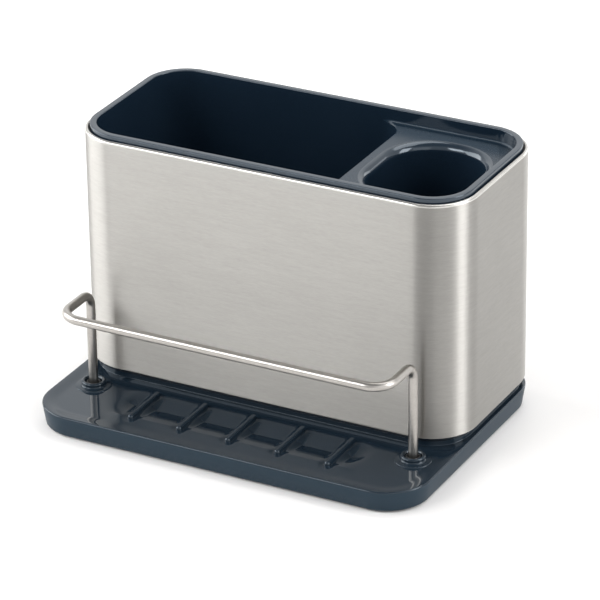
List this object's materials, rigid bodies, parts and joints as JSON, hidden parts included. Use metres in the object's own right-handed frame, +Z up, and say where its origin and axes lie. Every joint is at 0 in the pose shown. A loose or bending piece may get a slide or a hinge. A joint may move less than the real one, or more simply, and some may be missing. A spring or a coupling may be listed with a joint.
{
  "type": "sink caddy",
  "caption": "Brushed steel sink caddy with a lift-out liner, brush cup, drip tray with sponge ribs and a wire rail for a cloth.",
  "frame": {"origin": "on the worktop, under the middle of the drip tray", "axes": "+X to the right along the length, -Y towards the front, where the sponge bench and the rail are, +Z up"},
  "size_m": [0.225, 0.1586, 0.1513],
  "materials": {
    "tray_plastic": "glossy on top, satin on the skirt",
    "liner_plastic": "satin gloss",
    "base_plastic": "satin",
    "sleeve_steel": "brushed along its length",
    "rail_wire": "satin",
    "foot_rubber": "matte",
    "grommet_rubber": "matte"
  },
  "bodies": {
    "tray": {"drip_tray": "tray_plastic", "tray_foot_front_left": "foot_rubber", "tray_foot_front_right": "foot_rubber", "tray_foot_rear_left": "foot_rubber", "tray_foot_rear_right": "foot_rubber", "rail_grommet_left": "grommet_rubber", "rail_grommet_right": "grommet_rubber"},
    "rail": {"rail": "rail_wire"},
    "caddy": {"caddy_base": "base_plastic", "steel_sleeve": "sleeve_steel"},
    "liner": {"inner_liner": "liner_plastic"}
  },
  "joints": [
    {"name": "rail_lift", "type": "slide", "parent": "tray", "child": "rail", "axis": [0, 0, 1], "range_m": [0, 0.02]},
    {"name": "caddy_lift", "type": "slide", "parent": "tray", "child": "caddy", "axis": [0, 0, 1], "range_m": [0, 0.05]},
    {"name": "liner_lift", "type": "slide", "parent": "caddy", "child": "liner", "axis": [0, 0, 1], "range_m": [0, 0.14]}
  ]
}
